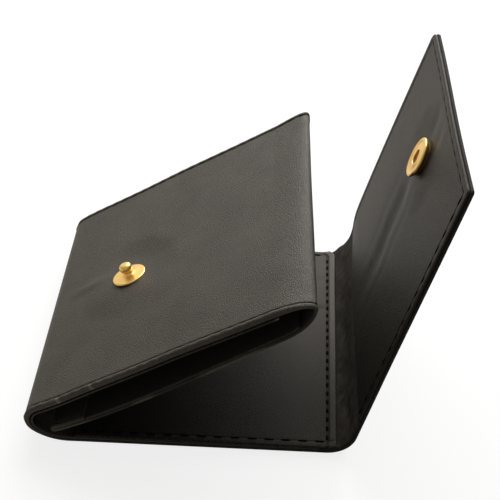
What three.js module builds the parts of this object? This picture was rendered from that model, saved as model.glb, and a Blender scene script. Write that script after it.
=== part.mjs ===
// A folded leather wallet, standing half open: a back panel on the table, a front panel that rises
// from the spine and doubles back under itself as a pouch, and a flap with a press stud.
// Millimetres and degrees, +Z up. The origin is the middle of the back panel's resting face,
// +X runs from the spine to the flap, and Y runs along the folds.
import * as THREE from "three";

// Leather
const depth = 96; // length of every fold, along Y
const coverThickness = 0.9; // outer leather
const liningThickness = 0.8; // inner leather
const glueLine = 0.2; // between two layers that lie on each other
const buttGap = 0.3; // between two pieces that meet edge to edge

// Back panel and its inside pocket
const backFlat = 81.2; // flat stretch between the spine and the flap's crease
const pocketThickness = 0.8;
const pocketSpineInset = 2; // from the flat stretch's spine end to the pocket
const pocketOverrun = 0.9; // how far the pocket's edge runs on over the crease
const pocketHemWidth = 3.2; // turned edge along the pocket's mouth
const pocketHemRise = 0.6;
const pocketEndInset = 0.4; // at both ends of Y

// Spine: a slow curve off the table, then a tighter one into the front panel
const spineLowerRadius = 16.5;
const spineLowerSweep = 41.8;
const spineUpperRadius = 6.7;

// Front panel and pouch
const frontTilt = 31.8;
const frontFlat = 86.2; // from the spine to the pouch's bend
const pouchHeight = 10.3; // outside, at the bend
const bendLength = 10.2; // how far the bend's nose reaches past the flat
const frontLiningInset = 0.6; // the lining stops short of the bend
const pouchFlare = 1.3; // the pouch widens towards the spine
const pouchSpineReach = 0.8; // how far the pouch's turned edge lies past the front's spine end
const pouchHemWidth = 12;
const pouchLiningInset = 1; // at the bend

// Flap
const creaseRadius = 9.2;
const flapAngle = 76.65; // above the table
const flapLength = 96.2; // from the crease to the free edge
const flapRootLength = 15.5; // strip below the bend that goes over the closed front
const flapTaper = 4.4; // at each end of Y, over the flap's length
const flapCorner = 2.2;

// Press stud: stud and rivet on the front, socket, spring and cap on the flap
const studFromSpine = 28.6;
const socketFromCrease = 74.1;
const rivetRadius = 1.3;
const rivetClearance = 0.2;
const rivetFlangeRadius = 4.5;
const rivetFlangeThickness = 0.4;
const studFlangeRadius = 5.9;
const studEdgeHeight = 0.5;
const studDishHeight = 1.1;
const studFootRun = 1; // the neck widens by this at its foot
const studFootRise = 0.2;
const studNeckRadius = 1.75;
const studHeadRadius = 2.05;
const studHeadHeight = 2.9;
const studHeadRounding = 1.305; // height over which the head's crown and its underside curve
const studHeadTopRadius = 0.82; // flat on the head's crown
const studHeight = 5.2;
const studBoreDepth = 2.4;
const socketRadius = 6.3;
const socketHeight = 2.2;
const socketMouthRadius = 2.3;
const socketFaceThickness = 0.45;
const socketFloorThickness = 0.45;
const socketChamberRadius = 4.3;
const socketEdgeRadius = 0.5;
const springWire = 0.6;
const springHalfGap = 1.55; // from the stud's axis to the middle of each leg
const springLegReach = 2.4;
const capRadius = 6.3;
const capEdgeHeight = 0.6;
const capCrown = 1.7;
const capShoulder = { radius: 5.355, height: 1.26 }; // where the cap's edge turns into its crown
const capUpper = { radius: 3.15, height: 1.59 };

// Fineness of curves, in straight steps
const outlineSteps = 10;
const foldSteps = 14;
const turnedSteps = 24;
const wireSteps = 28;
const wireRoundSteps = 8;

// Worked out from the above
const panelThickness = coverThickness + glueLine + liningThickness;
const half = depth / 2;
const spineEndX = -backFlat / 2;
const creaseX = backFlat / 2;
const spineRadiusStep = spineLowerRadius - spineUpperRadius;
const spineAxis = {
  x: spineEndX - spineRadiusStep * Math.sin(radians(spineLowerSweep)),
  z: spineLowerRadius - spineRadiusStep * Math.cos(radians(spineLowerSweep)),
};
const liningDepth = coverThickness + glueLine; // below a panel's outer face
const bendHalf = pouchHeight / 2;
const pouchLength = frontFlat + pouchSpineReach;
const turnedRadius = coverThickness + glueLine / 2; // outside of the pouch panel's turned edge

// Finishes
const outerLeather = new THREE.MeshStandardMaterial({ color: 0x2b2925, roughness: 0.55, metalness: 0 });
const innerLeather = new THREE.MeshStandardMaterial({ color: 0x24221f, roughness: 0.65, metalness: 0 });
const brass = new THREE.MeshStandardMaterial({ color: 0xe0b04a, roughness: 0.25, metalness: 1 });

function radians(degrees) {
  return (degrees * Math.PI) / 180;
}

// A flat piece: an outline in X and Y, raised from z by its thickness.
function sheet(name, outline, z, thickness, material) {
  const options = { depth: thickness, bevelEnabled: false, curveSegments: outlineSteps };
  const geometry = new THREE.ExtrudeGeometry(outline, options);
  geometry.translate(0, 0, z);
  return named(name, geometry, material);
}

// A folded piece: a section in X and Z, carried along Y between -reach and +reach.
function fold(name, section, material, reach = half) {
  const options = { depth: 2 * reach, bevelEnabled: false, curveSegments: foldSteps };
  const geometry = new THREE.ExtrudeGeometry(section, options);
  geometry.rotateX(Math.PI / 2).translate(0, reach, 0);
  return named(name, geometry, material);
}

// A turned piece: [radius, height] points round the Z axis, listed upwards on the outside.
function turned(name, profile, material, x, z, flip = false) {
  const points = profile.map(([radius, height]) => new THREE.Vector2(radius, height));
  const geometry = new THREE.LatheGeometry(points, turnedSteps);
  geometry.rotateX(flip ? -Math.PI / 2 : Math.PI / 2);
  const mesh = named(name, geometry, material);
  mesh.position.set(x, 0, z);
  return mesh;
}

function named(name, geometry, material) {
  const mesh = new THREE.Mesh(geometry, material);
  mesh.name = name;
  return mesh;
}

function rectangle(x0, x1, y0, y1) {
  return new THREE.Shape().moveTo(x0, y0).lineTo(x1, y0).lineTo(x1, y1).lineTo(x0, y1);
}

function hole(shape, x, radius) {
  shape.holes.push(new THREE.Path().absarc(x, 0, radius, 0, 2 * Math.PI));
  return shape;
}

// Sections of the folds

// The spine between two depths below its outer face: a slow arc, then a tight one, kept short of
// the panels at both ends.
function spineSection(outerDepth, innerDepth) {
  const bottom = radians(-90);
  const change = radians(-90 - spineLowerSweep);
  const top = radians(-270 + frontTilt);
  const section = new THREE.Shape();
  const lower = (d) => spineLowerRadius - d;
  const upper = (d) => spineUpperRadius - d;
  const endGap = (radius) => buttGap / radius;
  const outer = lower(outerDepth);
  const inner = lower(innerDepth);
  section.absarc(spineEndX, spineLowerRadius, outer, bottom - endGap(outer), change, true);
  section.absarc(spineAxis.x, spineAxis.z, upper(outerDepth), change, top + endGap(upper(outerDepth)), true);
  section.absarc(spineAxis.x, spineAxis.z, upper(innerDepth), top + endGap(upper(innerDepth)), change, false);
  section.absarc(spineEndX, spineLowerRadius, inner, change, bottom - endGap(inner), false);
  return section;
}

// The crease between two depths below its outer face.
function creaseSection(outerDepth, innerDepth) {
  const outer = creaseRadius - outerDepth;
  const inner = creaseRadius - innerDepth;
  const start = (radius) => radians(-90) + buttGap / radius;
  const end = (radius) => radians(-90 + flapAngle) - buttGap / radius;
  const section = new THREE.Shape();
  section.absarc(creaseX, creaseRadius, outer, start(outer), end(outer), false);
  section.absarc(creaseX, creaseRadius, inner, end(inner), start(inner), true);
  return section;
}

// The pouch's bend: a half-oval nose of single leather, from the front panel down to the pouch.
function bendSection() {
  const length = bendLength - coverThickness;
  const height = bendHalf - coverThickness;
  const quarter = Math.PI / 2;
  const section = new THREE.Shape();
  section.absellipse(0, 0, bendLength, bendHalf, -quarter, quarter, false, 0);
  section.absellipse(0, 0, length, height, quarter, -quarter, true, 0);
  return section;
}

// The pouch panel's outer leather, turned back over its spine edge as a hem.
function pouchCoverSection() {
  const under = -bendHalf;
  const turnZ = under + turnedRadius;
  const turnX = -pouchLength + turnedRadius;
  const hemEnd = -pouchLength + pouchHemWidth;
  const section = new THREE.Shape();
  section.moveTo(-buttGap, under).lineTo(-buttGap, under + coverThickness);
  section.lineTo(turnX, under + coverThickness);
  section.absarc(turnX, turnZ, glueLine / 2, radians(-90), radians(-270), true);
  section.lineTo(hemEnd, turnZ + glueLine / 2).lineTo(hemEnd, turnZ + turnedRadius);
  section.lineTo(turnX, turnZ + turnedRadius);
  section.absarc(turnX, turnZ, turnedRadius, radians(90), radians(270), false);
  return section;
}

// The inside pocket: one leather with a turned hem along its mouth.
function pocketSection() {
  const floor = panelThickness + glueLine;
  const top = floor + pocketThickness;
  const mouth = creaseX + pocketOverrun;
  const section = new THREE.Shape();
  section.moveTo(spineEndX + pocketSpineInset, floor).lineTo(mouth, floor).lineTo(mouth, top + pocketHemRise);
  section.lineTo(mouth - pocketHemWidth, top + pocketHemRise);
  section.lineTo(mouth - pocketHemWidth - pocketHemRise, top).lineTo(spineEndX + pocketSpineInset, top);
  return section;
}

// The flap's outline between two distances from the crease, drawn in by its taper.
function flapOutline(from, to, corner) {
  const reach = (u) => half - (flapTaper * u) / flapLength;
  const outline = new THREE.Shape();
  outline.moveTo(from, -reach(from)).lineTo(to - corner, -reach(to - corner));
  outline.quadraticCurveTo(to, -reach(to), to, -reach(to) + corner);
  outline.lineTo(to, reach(to) - corner);
  outline.quadraticCurveTo(to, reach(to), to - corner, reach(to - corner));
  outline.lineTo(from, reach(from));
  return outline;
}

// Back panel
const wallet = new THREE.Group();
const backOutline = rectangle(spineEndX, creaseX, -half, half);
wallet.add(sheet("back_cover", backOutline, 0, coverThickness, outerLeather));
wallet.add(sheet("back_lining", backOutline, liningDepth, liningThickness, innerLeather));
wallet.add(fold("inside_pocket", pocketSection(), innerLeather, half - pocketEndInset));

// Folds on both sides of the back panel
wallet.add(fold("spine_cover", spineSection(0, coverThickness), outerLeather));
wallet.add(fold("spine_lining", spineSection(liningDepth, panelThickness), innerLeather));
wallet.add(fold("crease_cover", creaseSection(0, coverThickness), outerLeather));
wallet.add(fold("crease_lining", creaseSection(liningDepth, panelThickness), innerLeather));

// Front panel, turned up about the spine's axis
const front = new THREE.Group();
front.position.set(spineAxis.x, 0, spineAxis.z);
front.rotation.y = -radians(frontTilt);
wallet.add(front);

const rivetHole = rivetRadius + rivetClearance;
const frontFace = spineUpperRadius;
const frontInside = frontFace - panelThickness;
const frontOutline = hole(rectangle(0, frontFlat - buttGap, -half, half), studFromSpine, rivetHole);
const frontLiningOutline = hole(rectangle(0, frontFlat - frontLiningInset, -half, half), studFromSpine, rivetHole);
front.add(sheet("front_cover", frontOutline, frontFace - coverThickness, coverThickness, outerLeather));
front.add(sheet("front_lining", frontLiningOutline, frontInside, liningThickness, innerLeather));

const frontBend = fold("front_bend", bendSection(), outerLeather);
frontBend.position.set(frontFlat, 0, frontFace - bendHalf);
front.add(frontBend);

// Stud: a dished flange, a neck and a rounded head, clenched on a rivet from inside the pouch
const studSeat = frontFace + glueLine;
const studBore = rivetRadius + rivetClearance;
const headWaist = studHeight - studHeadHeight;
const studProfile = [
  [0, studBoreDepth],
  [studBore, studBoreDepth],
  [studBore, 0],
  [studFlangeRadius, 0],
  [studFlangeRadius, studEdgeHeight],
  [studNeckRadius + studFootRun, studDishHeight],
  [studNeckRadius, studDishHeight + studFootRise],
  [studNeckRadius, headWaist],
  [studHeadRadius, headWaist + studHeadRounding / 2],
  [studHeadRadius, studHeight - studHeadRounding],
  [2 * studHeadTopRadius, studHeight - studHeadRounding / 3],
  [studHeadTopRadius, studHeight],
  [0, studHeight],
];
front.add(turned("stud", studProfile, brass, studFromSpine, studSeat));

const rivetTop = studSeat + studBoreDepth - glueLine;
const flangeTop = frontInside - glueLine;
const flangeBottom = flangeTop - rivetFlangeThickness;
const rivetProfile = [
  [0, flangeBottom],
  [rivetFlangeRadius, flangeBottom],
  [rivetFlangeRadius, flangeTop],
  [rivetRadius, flangeTop],
  [rivetRadius, rivetTop],
  [0, rivetTop],
];
front.add(turned("stud_rivet", rivetProfile, brass, studFromSpine, 0));

// Pouch panel, hung from the bend's middle
const pouch = new THREE.Group();
pouch.position.set(frontFlat, 0, frontFace - bendHalf);
pouch.rotation.y = -radians(pouchFlare);
front.add(pouch);

pouch.add(fold("pouch_cover", pouchCoverSection(), outerLeather));
const pouchLiningOutline = rectangle(-pouchLength + pouchHemWidth + buttGap, -pouchLiningInset, -half, half);
const pouchLiningFloor = -bendHalf + liningDepth;
pouch.add(sheet("pouch_lining", pouchLiningOutline, pouchLiningFloor, liningThickness, innerLeather));

// Flap, turned up about the crease's axis; its outer face is towards -Z of this group
const flap = new THREE.Group();
flap.position.set(creaseX, 0, creaseRadius);
flap.rotation.y = -radians(flapAngle);
wallet.add(flap);

const flapFace = -creaseRadius;
const flapLiningFloor = flapFace + liningDepth;
const flapInside = flapFace + panelThickness;
const rootOutline = flapOutline(0, flapRootLength - buttGap, 0);
const flapSheet = hole(flapOutline(flapRootLength, flapLength, flapCorner), socketFromCrease, rivetHole);
flap.add(sheet("flap_root_cover", rootOutline, flapFace, coverThickness, outerLeather));
flap.add(sheet("flap_root_lining", rootOutline, flapLiningFloor, liningThickness, innerLeather));
flap.add(sheet("flap_cover", flapSheet, flapFace, coverThickness, outerLeather));
flap.add(sheet("flap_lining", flapSheet, flapLiningFloor, liningThickness, innerLeather));

// Socket: a cup on the flap's lining, with a chamber that holds the spring
const socketSeat = flapInside + glueLine;
const chamberTop = socketHeight - socketFaceThickness;
const socketProfile = [
  [rivetHole, 0],
  [socketRadius - socketEdgeRadius, 0],
  [socketRadius, socketEdgeRadius],
  [socketRadius, socketHeight - socketEdgeRadius],
  [socketRadius - socketEdgeRadius, socketHeight],
  [socketMouthRadius, socketHeight],
  [socketMouthRadius, chamberTop],
  [socketChamberRadius, chamberTop],
  [socketChamberRadius, socketFloorThickness],
  [rivetHole, socketFloorThickness],
  [rivetHole, 0],
];
flap.add(turned("snap_socket", socketProfile, brass, socketFromCrease, socketSeat));

// Spring: a wire hairpin whose two legs grip the stud's neck
function springWirePath() {
  const start = new THREE.Vector3(-springLegReach, springHalfGap, 0);
  const turnIn = new THREE.Vector3(springHalfGap, springHalfGap, 0);
  const turnMid = new THREE.Vector3(springLegReach + springHalfGap / 2, 0, 0);
  const turnOut = new THREE.Vector3(springHalfGap, -springHalfGap, 0);
  const end = new THREE.Vector3(-springLegReach, -springHalfGap, 0);
  return new THREE.CatmullRomCurve3([start, turnIn, turnMid, turnOut, end], false, "centripetal");
}
const wireSection = new THREE.Shape().absarc(0, 0, springWire / 2, 0, 2 * Math.PI);
const wireOptions = {
  steps: wireSteps,
  extrudePath: springWirePath(),
  curveSegments: wireRoundSteps,
  bevelEnabled: false,
};
const spring = named("snap_spring", new THREE.ExtrudeGeometry(wireSection, wireOptions), brass);
spring.position.set(socketFromCrease, 0, socketSeat + socketFloorThickness + (chamberTop - socketFloorThickness) / 2);
flap.add(spring);

// Cap: a crowned disc on the flap's outer face, whose post passes through into the socket's floor
const capSeat = flapFace - glueLine;
const postLength = socketSeat + socketFloorThickness - capSeat;
const capProfile = [
  [0, -postLength],
  [rivetRadius, -postLength],
  [rivetRadius, 0],
  [capRadius, 0],
  [capRadius, capEdgeHeight],
  [capShoulder.radius, capShoulder.height],
  [capUpper.radius, capUpper.height],
  [0, capCrown],
];
flap.add(turned("snap_cap", capProfile, brass, socketFromCrease, capSeat, true));

export default wallet;
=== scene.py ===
import bpy
import numpy as np
from mathutils import Matrix


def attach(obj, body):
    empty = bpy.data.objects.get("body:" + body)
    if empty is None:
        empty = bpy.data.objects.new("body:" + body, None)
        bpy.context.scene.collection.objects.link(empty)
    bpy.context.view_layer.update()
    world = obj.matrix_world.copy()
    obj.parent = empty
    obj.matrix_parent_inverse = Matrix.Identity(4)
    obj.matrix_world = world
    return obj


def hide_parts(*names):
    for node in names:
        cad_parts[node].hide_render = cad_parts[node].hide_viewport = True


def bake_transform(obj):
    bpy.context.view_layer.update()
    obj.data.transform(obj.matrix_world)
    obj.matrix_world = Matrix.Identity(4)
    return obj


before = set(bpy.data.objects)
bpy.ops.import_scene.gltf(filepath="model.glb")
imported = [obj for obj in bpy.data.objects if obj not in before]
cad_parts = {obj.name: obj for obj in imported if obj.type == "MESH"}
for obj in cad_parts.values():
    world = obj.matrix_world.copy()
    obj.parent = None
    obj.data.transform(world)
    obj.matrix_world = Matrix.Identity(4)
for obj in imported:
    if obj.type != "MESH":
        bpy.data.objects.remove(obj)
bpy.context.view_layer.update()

# The picture: the wallet stands on a white table and is seen from above its open end, with a short
# telephoto lens. Lengths in this script are millimetres until a mesh is made.
MM = 0.001
view_target = np.array([12.48, 50.21, 0.0])
view_distance = 391.05
view_azimuth, view_elevation, view_roll = np.radians([1.509, 39.851, 1.472])
view_lens = 72.05
view_sensor = 36.0

view_back = np.array([
    np.sin(view_azimuth) * np.cos(view_elevation),
    -np.cos(view_azimuth) * np.cos(view_elevation),
    np.sin(view_elevation),
])
level_right = np.array([np.cos(view_azimuth), np.sin(view_azimuth), 0.0])
level_up = np.cross(view_back, level_right)
view_right = np.cos(view_roll) * level_right + np.sin(view_roll) * level_up
view_up = np.cos(view_roll) * level_up - np.sin(view_roll) * level_right


def place_object(name, data, right, up, back, place):
    """An object in the scene whose own X, Y and Z point right, up and back, at a place in millimetres."""
    placed = bpy.data.objects.new(name, data)
    matrix = np.eye(4)
    matrix[:3] = np.column_stack([right, up, back, place * MM])
    placed.matrix_world = Matrix(matrix.tolist())
    bpy.context.scene.collection.objects.link(placed)
    return placed


camera = place_object("picture_camera", bpy.data.cameras.new("picture_camera"), view_right, view_up,
                      view_back, view_target + view_back * view_distance)
camera.data.lens = view_lens
camera.data.sensor_width = view_sensor
camera.data.clip_start = 0.01
camera.data.clip_end = 20.0
bpy.context.scene.camera = camera
bpy.context.scene.view_settings.view_transform = "Standard"

# The table: a wide white board, a hair below the wallet. What the camera sees of it is white with a pale
# shade under the wallet; in what shines it glows as a painted reflection, warmer and dimmer on the side of
# the eye.
table_reach = 3000.0
table_drop = 0.22
table_white = (0.5, 0.5, 0.5, 1)
table_shade = (0.24, 0.24, 0.24, 1)
table_glow = 0.82
table_shine = 0.9
near_shine = 0.2
bright_side = (-0.5, 0.87, 0.0)
shine_starts, shine_full = -0.10, 0.08
warm_white = (1.0, 0.955, 0.885)


def add_node(tree, kind, inputs=None, **settings):
    """A node with its settings and input values; an input that is given a socket is linked to it."""
    node = tree.nodes.new(kind)
    for key, value in settings.items():
        setattr(node, key, value)
    for key, value in (inputs or {}).items():
        if isinstance(value, bpy.types.NodeSocket):
            tree.links.new(value, node.inputs[key])
        else:
            node.inputs[key].default_value = value
    return node


def ramp(tree, value, start, end, low, high, kind="LINEAR"):
    """The value low up to the start, high past the end, and a straight or smooth slope between them."""
    inputs = {"Value": value, 1: start, 2: end, 3: low, 4: high}
    return add_node(tree, "ShaderNodeMapRange", inputs, interpolation_type=kind).outputs[0]


def reckon(tree, operation, first, second, clamp=False):
    """One operation on two values or sockets."""
    inputs = {0: first, 1: second}
    return add_node(tree, "ShaderNodeMath", inputs, operation=operation, use_clamp=clamp).outputs[0]


table_corners = np.array([[-1, -1], [1, -1], [1, 1], [-1, 1]]) * table_reach
table_points = np.column_stack([table_corners, np.full(4, -table_drop)]) * MM
table_mesh = bpy.data.meshes.new("table")
table_mesh.from_pydata(table_points.tolist(), [], [(0, 1, 2, 3)])
table = bpy.data.objects.new("table", table_mesh)
bpy.context.scene.collection.objects.link(table)

table_finish = bpy.data.materials.new("white_table")
table_finish.use_nodes = True
tree = table_finish.node_tree
tree.nodes.clear()
board = add_node(tree, "ShaderNodeBsdfDiffuse", {"Color": table_white})
shade = add_node(tree, "ShaderNodeBsdfDiffuse", {"Color": table_shade})
glow = add_node(tree, "ShaderNodeEmission", {"Color": (1, 1, 1, 1), "Strength": table_glow})
pale = add_node(tree, "ShaderNodeAddShader", {0: shade.outputs[0], 1: glow.outputs[0]})
on_table = add_node(tree, "ShaderNodeTexCoord").outputs["Object"]
to_bright = add_node(tree, "ShaderNodeVectorMath", {0: on_table, 1: bright_side}, operation="DOT_PRODUCT")
shine = ramp(tree, to_bright.outputs["Value"], shine_starts, shine_full, near_shine, table_shine,
             "SMOOTHSTEP")
# Painted reflection: for shining rays the table glows, dim on the near side and bright on the far side.
reflection_glow = add_node(tree, "ShaderNodeEmission", {"Color": (*warm_white, 1), "Strength": shine})
path = add_node(tree, "ShaderNodeLightPath").outputs
shining = reckon(tree, "ADD", path["Is Glossy Ray"], path["Is Transmission Ray"], clamp=True)
lit = add_node(tree, "ShaderNodeMixShader", {0: shining, 1: board.outputs[0], 2: reflection_glow.outputs[0]})
seen = path["Is Camera Ray"]
shown = add_node(tree, "ShaderNodeMixShader", {0: seen, 1: lit.outputs[0], 2: pale.outputs[0]})
add_node(tree, "ShaderNodeOutputMaterial", {"Surface": shown.outputs[0]})
table_mesh.materials.append(table_finish)

# The light: a dark room with a glowing white wall behind the wallet, and one broad soft window in front
# of that wall, so that the folds stay dark on the side of the eye. What shines mirrors the room a little
# lighter than it lights.
room_glow = 0.08
room_shine = 0.42
wall_glow = 1.0
wall_side = (0.22, 0.93, 0.30)
wall_starts, wall_full = 0.1, 0.95


def mixed(tree, share, first, second):
    """Two colours, or sockets of colours, mixed by a share."""
    ends = [end if isinstance(end, bpy.types.NodeSocket) else (*end, 1) for end in (first, second)]
    return add_node(tree, "ShaderNodeMix", {0: share, 6: ends[0], 7: ends[1]}, data_type="RGBA").outputs[2]


def unit(vectors):
    """Vectors divided by their lengths."""
    return vectors / np.linalg.norm(vectors, axis=-1, keepdims=True)


def soft_lamp(name, place, aim, size, watts):
    """A square area lamp at place, turned to aim; both in millimetres."""
    lamp = bpy.data.lights.new(name, "AREA")
    lamp.size = size * MM
    lamp.energy = watts
    back = unit(np.subtract(place, aim))
    right = unit(np.cross([0.0, 0.0, 1.0], back))
    place_object(name, lamp, right, np.cross(back, right), back, np.array(place))


world = bpy.data.worlds.new("dim_room")
bpy.context.scene.world = world
world.use_nodes = True
tree = world.node_tree
outward = add_node(tree, "ShaderNodeTexCoord").outputs["Generated"]
to_wall = add_node(tree, "ShaderNodeVectorMath", {0: outward, 1: wall_side}, operation="DOT_PRODUCT")
path = add_node(tree, "ShaderNodeLightPath").outputs
room = ramp(tree, path["Is Glossy Ray"], 0.0, 1.0, room_glow, room_shine)
level = ramp(tree, to_wall.outputs["Value"], wall_starts, wall_full, room, wall_glow, "SMOOTHSTEP")
strength = reckon(tree, "MAXIMUM", level, path["Is Camera Ray"])
tree.links.new(strength, tree.nodes["Background"].inputs["Strength"])
hue = mixed(tree, path["Is Camera Ray"], warm_white, (1, 1, 1))
tree.links.new(hue, tree.nodes["Background"].inputs["Color"])
soft_lamp("window", place=(70, 470, 420), aim=(10, 0, 30), size=500, watts=4.0)

# The grain of the leathers: tanned hide with rounded pebbles of one cell each and finer pores in them.
# The dye takes unevenly, so that the tone drifts over a hide.
pebble_edge = 0.32
pores_per_cell = 2.3
pore_height = 0.6


def group_of(name, inputs, outputs):
    """An empty shader node group with its sockets, and its input and output nodes."""
    made = bpy.data.node_groups.new(name, "ShaderNodeTree")
    for key, kind in inputs.items():
        made.interface.new_socket(key, in_out="INPUT", socket_type=kind)
    for key, kind in outputs.items():
        made.interface.new_socket(key, in_out="OUTPUT", socket_type=kind)
    return made, made.nodes.new("NodeGroupInput").outputs, made.nodes.new("NodeGroupOutput").inputs


grain_group, entry, leave = group_of(
    "leather_grain",
    {"Place": "NodeSocketVector", "Cell": "NodeSocketFloat", "Drift": "NodeSocketFloat"},
    {"Height": "NodeSocketFloat", "Tone": "NodeSocketFloat"},
)
per_cell = reckon(grain_group, "DIVIDE", 1.0, entry["Cell"])
cells = add_node(grain_group, "ShaderNodeVectorMath", {0: entry["Place"], 3: per_cell}, operation="SCALE")
pebbles = add_node(grain_group, "ShaderNodeTexVoronoi", {"Vector": cells.outputs[0], "Scale": 1.0},
                   feature="DISTANCE_TO_EDGE")
pebble_top = ramp(grain_group, pebbles.outputs["Distance"], 0.0, pebble_edge, 0.0, 1.0, "SMOOTHSTEP")
pores = add_node(grain_group, "ShaderNodeTexNoise", {"Vector": cells.outputs[0], "Scale": pores_per_cell,
                 "Detail": 3.0})
pore_part = reckon(grain_group, "MULTIPLY", pores.outputs[0], pore_height)
grain_group.links.new(reckon(grain_group, "ADD", pebble_top, pore_part), leave["Height"])
clouds = add_node(grain_group, "ShaderNodeTexNoise", {"Vector": entry["Place"], "Scale": entry["Drift"],
                  "Detail": 5.0, "Roughness": 0.62})
grain_group.links.new(clouds.outputs[0], leave["Tone"])

# The wear of the leathers: the dye has gone in specks from the rims, thick at the cut edge and gone past
# a width, and in the scuffs that a piece brings with it, which on the pocket are partly a painted highlight.
# Wax and dirt darken the seams, and the same black is painted as shade inside the pouch and in creases.
worn_width = 1.7
specks_per_mm = 1.5
speck_starts, speck_full = 0.45, 0.7
seam_black = (0.004, 0.004, 0.0035)
seam_dullness = 0.35
grain_depth = 0.12

wear_and_highlight_group, entry, leave = group_of(
    "rubbed_edge_and_highlight",
    {"Place": "NodeSocketVector", "Rim": "NodeSocketFloat", "Scuff and highlight": "NodeSocketFloat",
     "Width": "NodeSocketFloat", "Amount": "NodeSocketFloat"},
    {"Mask": "NodeSocketFloat"},
)
near_edge = ramp(wear_and_highlight_group, entry["Rim"], 0.0, entry["Width"], 1.0, 0.0, "SMOOTHSTEP")
specks = add_node(wear_and_highlight_group, "ShaderNodeTexNoise", {"Vector": entry["Place"], "Scale": specks_per_mm,
                  "Detail": 6.0, "Roughness": 0.7})
gone = ramp(wear_and_highlight_group, specks.outputs[0], speck_starts, speck_full, 0.0, 1.0)
rubbed = reckon(wear_and_highlight_group, "MULTIPLY", reckon(wear_and_highlight_group, "MULTIPLY", near_edge, gone), entry["Amount"])
wear_and_highlight_group.links.new(reckon(wear_and_highlight_group, "ADD", rubbed, entry["Scuff and highlight"], clamp=True), leave["Mask"])


def new_finish(name):
    """An empty material with its nodes and the inputs of its Principled shader."""
    finish = bpy.data.materials.new(name)
    finish.use_nodes = True
    return finish, finish.node_tree, finish.node_tree.nodes["Principled BSDF"].inputs


def emboss(tree, height, strength, depth):
    """Gives the Principled shader a bump of that height, at full strength as deep as depth."""
    inputs = {"Height": height, "Strength": strength, "Distance": depth * MM}
    relief = add_node(tree, "ShaderNodeBump", inputs)
    tree.links.new(relief.outputs[0], tree.nodes["Principled BSDF"].inputs["Normal"])


def leather_finish(name, dark, light, worn_and_highlight, cell, bump, rub, gloss, sheen=0.5, warm=(1.0, 0.94, 0.87),
                   drift=0.07):
    """Dyed leather: two tones that drift into each other, grain as bump, rubbed rims and dark seams, with
    painted highlight and shade where a sheet carries them.
    """
    finish, tree, shader = new_finish(name)
    place = add_node(tree, "ShaderNodeAttribute", attribute_name="flat").outputs["Vector"]
    rim, scuff, seam = (add_node(tree, "ShaderNodeAttribute", attribute_name=key).outputs["Fac"]
                        for key in ("rim", "scuff", "seam"))
    grain = add_node(tree, "ShaderNodeGroup", {"Place": place, "Cell": cell, "Drift": drift},
                     node_tree=grain_group).outputs
    wear_and_highlight = add_node(tree, "ShaderNodeGroup", {"Place": place, "Rim": rim, "Scuff and highlight": scuff, "Width": worn_width,
                    "Amount": rub}, node_tree=wear_and_highlight_group).outputs
    tone = mixed(tree, ramp(tree, grain["Tone"], 0.32, 0.68, 0.0, 1.0), dark, light)
    colour = mixed(tree, seam, mixed(tree, wear_and_highlight["Mask"], tone, worn_and_highlight), seam_black)
    tree.links.new(colour, shader["Base Color"])
    matt = ramp(tree, grain["Height"], 0.0, 1.4, gloss + 0.12, gloss - 0.04)
    dull = reckon(tree, "MULTIPLY", seam, seam_dullness)
    tree.links.new(reckon(tree, "ADD", matt, dull), shader["Roughness"])
    emboss(tree, grain["Height"], bump, grain_depth)
    shader["Specular IOR Level"].default_value = sheen
    shader["Specular Tint"].default_value = (*warm, 1)
    return finish


# The back: the outer leather is one long strip of black calf, from the flap's free edge down to the
# crease, under the back, round the spine, up the front, round the nose and back under it as the pouch.
# Here is its stretch under the back, with the crease and the root of the flap.
fold_half = 48.0
cover_thickness = 0.95
cut_edge_radius = 0.42
crease_centre = np.array([40.6, 9.2])
crease_radius = 9.2
flap_rise = 76.65
flap_length = 95.8
flap_taper = 4.4
back_seam = -38.0
root_seam = 7.0
side_inset = 2.4
outer_leather = leather_finish("outer_leather", dark=(0.036, 0.0320, 0.0255), light=(0.055, 0.0490, 0.0390),
                               worn_and_highlight=(0.24, 0.20, 0.15), cell=0.56, bump=0.7, rub=0.35, gloss=0.48)


def ease(value, low, high):
    """0 below low, 1 above high, and 3t^2 - 2t^3 between."""
    t = np.clip((value - low) / (high - low), 0, 1)
    return t * t * (3 - 2 * t)


def bell(value, width):
    """A bell round zero: the exponential of minus the square of value over width."""
    return np.exp(-((value / width) ** 2))


def directions(degrees):
    """The unit vectors along and out of a panel that rises by that many degrees, in X and Z."""
    c, s = np.cos(np.radians(degrees)), np.sin(np.radians(degrees))
    return np.array([c, s]), np.array([-s, c])


def turned_point(centre, degrees, along, out):
    """A point that lies along and out from a centre in a frame raised by that many degrees."""
    along_way, out_way = directions(degrees)
    along, out = np.broadcast_arrays(np.asarray(along, float), np.asarray(out, float))
    return centre + along[..., None] * along_way + out[..., None] * out_way


def flap_point(along, out):
    """A point of the flap's section: along it from the crease's centre, and out from that centre."""
    return turned_point(crease_centre, flap_rise, along, out)


def arc(centre, radius, start, end, spacing=0.8):
    """A circle about the centre, walked from the start to the end angle in even steps."""
    count = int(abs(np.radians(end - start)) * radius / spacing) + 3
    turn = np.radians(np.linspace(start, end, count))
    return np.stack([centre[0] + radius * np.cos(turn), centre[1] + radius * np.sin(turn)], -1)


def straight(start, end, spacing=1.6):
    """Even steps from one point to another."""
    start, end = np.asarray(start, float), np.asarray(end, float)
    count = int(np.linalg.norm(end - start) / spacing) + 2
    return start + np.linspace(0, 1, count)[:, None] * (end - start)


def joined(*stretches):
    """The stretches one after another, without the points that two of them share."""
    line = np.concatenate(stretches)
    step = np.linalg.norm(np.diff(line, axis=0), axis=1)
    return line[np.concatenate([[True], step > 0.01])]


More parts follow.
